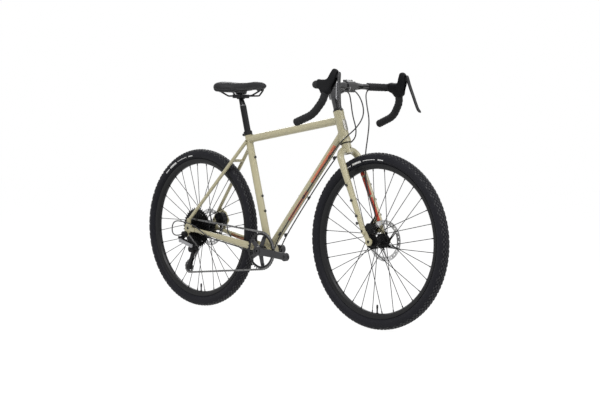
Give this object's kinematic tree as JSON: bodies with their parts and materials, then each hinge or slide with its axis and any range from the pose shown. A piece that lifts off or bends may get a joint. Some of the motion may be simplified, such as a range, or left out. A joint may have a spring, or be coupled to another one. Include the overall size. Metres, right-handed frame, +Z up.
{
  "type": "gravel bike",
  "caption": "Gravel bicycle with a steel frame, flared drop handlebar, single chainring drivetrain, disc brakes and wide tyres.",
  "frame": {"origin": "on the ground midway between the two axles", "axes": "+X forward, +Y to the rider's left, +Z up"},
  "size_m": [1.6999, 0.5058, 0.9941],
  "materials": {
    "frame_paint": "gloss",
    "black_alloy": "satin black",
    "grey_alloy": "satin grey",
    "steel": "brushed",
    "dark_steel": "dark",
    "tyre_rubber": "matt",
    "black_rubber": "matt",
    "black_plastic": "matt",
    "saddle_cover": "matt"
  },
  "bodies": {
    "frame": {"head_tube": "frame_paint", "top_tube": "frame_paint", "down_tube": "frame_paint", "seat_tube": "frame_paint", "bb_shell": "frame_paint", "chainstays": "frame_paint", "seatstays": "frame_paint", "rear_dropouts": "frame_paint", "seat_collar": "black_alloy", "headset_cups": "black_alloy", "bottom_bracket_cups": "black_alloy", "frame_fasteners": "black_alloy", "cable_guides": "black_plastic", "rear_caliper": "black_alloy", "rear_brake_hose": "black_plastic", "shift_housing": "black_plastic", "chain": "steel", "derailleur_mount": "black_alloy"},
    "fork": {"fork": "frame_paint", "headset_spacers": "black_alloy", "stem": "black_alloy", "stem_faceplate": "black_alloy", "handlebar": "black_alloy", "bar_tape": "black_rubber", "bar_plugs": "black_plastic", "lever_hoods": "black_rubber", "front_caliper": "black_alloy", "front_brake_hose": "black_plastic", "fork_fasteners": "black_alloy"},
    "front_wheel": {"front_tyre": "tyre_rubber", "front_rim": "black_alloy", "front_hub": "black_alloy", "front_spokes": "dark_steel", "front_rotor": "steel"},
    "rear_wheel": {"rear_tyre": "tyre_rubber", "rear_rim": "black_alloy", "rear_hub": "black_alloy", "rear_spokes": "dark_steel", "rear_rotor": "steel"},
    "crankset": {"chainring": "grey_alloy", "crank_arm_right": "grey_alloy", "crank_arm_left": "grey_alloy"},
    "cassette": {"cassette": "dark_steel"},
    "lever_left": {"brake_lever_left": "grey_alloy"},
    "lever_right": {"brake_lever_right": "grey_alloy"},
    "shift_paddle": {"shift_paddle": "black_plastic"},
    "derailleur_outer_link": {"derailleur_outer_link": "grey_alloy"},
    "derailleur_inner_link": {"derailleur_inner_link": "black_alloy"},
    "derailleur_knuckle": {"derailleur_knuckle": "black_alloy"},
    "derailleur_cage": {"derailleur_cage": "black_alloy"},
    "guide_pulley": {"guide_pulley": "black_plastic"},
    "tension_pulley": {"tension_pulley": "black_plastic"},
    "seat": {"seatpost": "black_alloy", "saddle": "saddle_cover", "saddle_shell": "black_plastic", "saddle_rails": "steel"},
    "front_pad_left": {"front_pad_left": "dark_steel"},
    "front_pad_right": {"front_pad_right": "dark_steel"},
    "rear_pad_left": {"rear_pad_left": "dark_steel"},
    "rear_pad_right": {"rear_pad_right": "dark_steel"}
  },
  "joints": [
    {"name": "steering", "type": "hinge", "parent": "frame", "child": "fork", "pos_m": [0.46732, 0, 0.32572], "axis": [-0.3173, 0, 0.9483], "range_deg": [-60, 60], "deforming": ["rear_brake_hose", "shift_housing"]},
    {"name": "front_wheel_spin", "type": "hinge", "parent": "fork", "child": "front_wheel", "pos_m": [0.51, 0, 0.34], "axis": [0, 1, 0], "continuous": true},
    {"name": "rear_wheel_spin", "type": "hinge", "parent": "frame", "child": "rear_wheel", "pos_m": [-0.51, 0, 0.34], "axis": [0, 1, 0], "continuous": true},
    {"name": "crank_spin", "type": "hinge", "parent": "frame", "child": "crankset", "pos_m": [-0.08599, 0, 0.2685], "axis": [0, 1, 0], "continuous": true, "deforming": ["chain"]},
    {"name": "cassette_spin", "type": "hinge", "parent": "frame", "child": "cassette", "pos_m": [-0.51, 0, 0.34], "axis": [0, 1, 0], "continuous": true},
    {"name": "lever_left_pull", "type": "hinge", "parent": "fork", "child": "lever_left", "pos_m": [0.46484, 0.19715, 0.9648], "axis": [0, 0.9736, 0.2284], "range_deg": [0, 22], "stiffness_Nm_per_rad": 1.2, "springref_deg": -14.32},
    {"name": "lever_right_pull", "type": "hinge", "parent": "fork", "child": "lever_right", "pos_m": [0.46484, -0.19715, 0.9648], "axis": [0, 0.9736, -0.2284], "range_deg": [0, 22], "stiffness_Nm_per_rad": 1.2, "springref_deg": -14.32},
    {"name": "paddle_push", "type": "hinge", "parent": "lever_right", "child": "shift_paddle", "pos_m": [0.47864, -0.204, 0.93559], "axis": [0, 0.2284, 0.9736], "range_deg": [0, 25], "stiffness_Nm_per_rad": 0.1, "springref_deg": -17.19},
    {"name": "derailleur_shift", "type": "hinge", "parent": "frame", "child": "derailleur_outer_link", "pos_m": [-0.531, -0.10344, 0.25], "axis": [0, 0, 1], "range_deg": [-15, 12]},
    {"name": "derailleur_inner_follow", "type": "hinge", "parent": "frame", "child": "derailleur_inner_link", "pos_m": [-0.529, -0.08844, 0.25], "axis": [0, 0, 1], "range_deg": [-15, 12]},
    {"name": "derailleur_knuckle_follow", "type": "hinge", "parent": "derailleur_outer_link", "child": "derailleur_knuckle", "pos_m": [-0.478, -0.08644, 0.25], "axis": [0, 0, 1], "range_deg": [-12, 15]},
    {"name": "cage_swing", "type": "hinge", "parent": "derailleur_knuckle", "child": "derailleur_cage", "pos_m": [-0.5, -0.04944, 0.25], "axis": [0, 1, 0], "range_deg": [-45, 8], "stiffness_Nm_per_rad": 0.8},
    {"name": "guide_pulley_spin", "type": "hinge", "parent": "derailleur_cage", "child": "guide_pulley", "pos_m": [-0.5, -0.04944, 0.25], "axis": [0, 1, 0], "continuous": true},
    {"name": "tension_pulley_spin", "type": "hinge", "parent": "derailleur_cage", "child": "tension_pulley", "pos_m": [-0.53013, -0.04944, 0.17159], "axis": [0, 1, 0], "continuous": true},
    {"name": "seat_height", "type": "slide", "parent": "frame", "child": "seat", "axis": [-0.2672, 0, 0.9636], "range_m": [0, 0.03]},
    {"name": "front_pad_left_press", "type": "slide", "parent": "fork", "child": "front_pad_left", "axis": [0, -1, 0], "range_m": [0, 0.0003]},
    {"name": "front_pad_right_press", "type": "slide", "parent": "fork", "child": "front_pad_right", "axis": [0, 1, 0], "range_m": [0, 0.0003]},
    {"name": "rear_pad_left_press", "type": "slide", "parent": "frame", "child": "rear_pad_left", "axis": [0, -1, 0], "range_m": [0, 0.0003]},
    {"name": "rear_pad_right_press", "type": "slide", "parent": "frame", "child": "rear_pad_right", "axis": [0, 1, 0], "range_m": [0, 0.0003]}
  ],
  "couplings": [
    {"joint": "cassette_spin", "follows": "crank_spin", "ratio": 2},
    {"joint": "guide_pulley_spin", "follows": "crank_spin", "ratio": -3.1667},
    {"joint": "tension_pulley_spin", "follows": "crank_spin", "ratio": 3.1667},
    {"joint": "derailleur_inner_follow", "follows": "derailleur_shift", "ratio": 1},
    {"joint": "derailleur_knuckle_follow", "follows": "derailleur_shift", "ratio": -1},
    {"joint": "front_pad_left_press", "follows": "lever_left_pull", "m_per_rad": 0.0007553},
    {"joint": "front_pad_right_press", "follows": "lever_left_pull", "m_per_rad": 0.0007553},
    {"joint": "rear_pad_left_press", "follows": "lever_right_pull", "m_per_rad": 0.0007553},
    {"joint": "rear_pad_right_press", "follows": "lever_right_pull", "m_per_rad": 0.0007553}
  ]
}
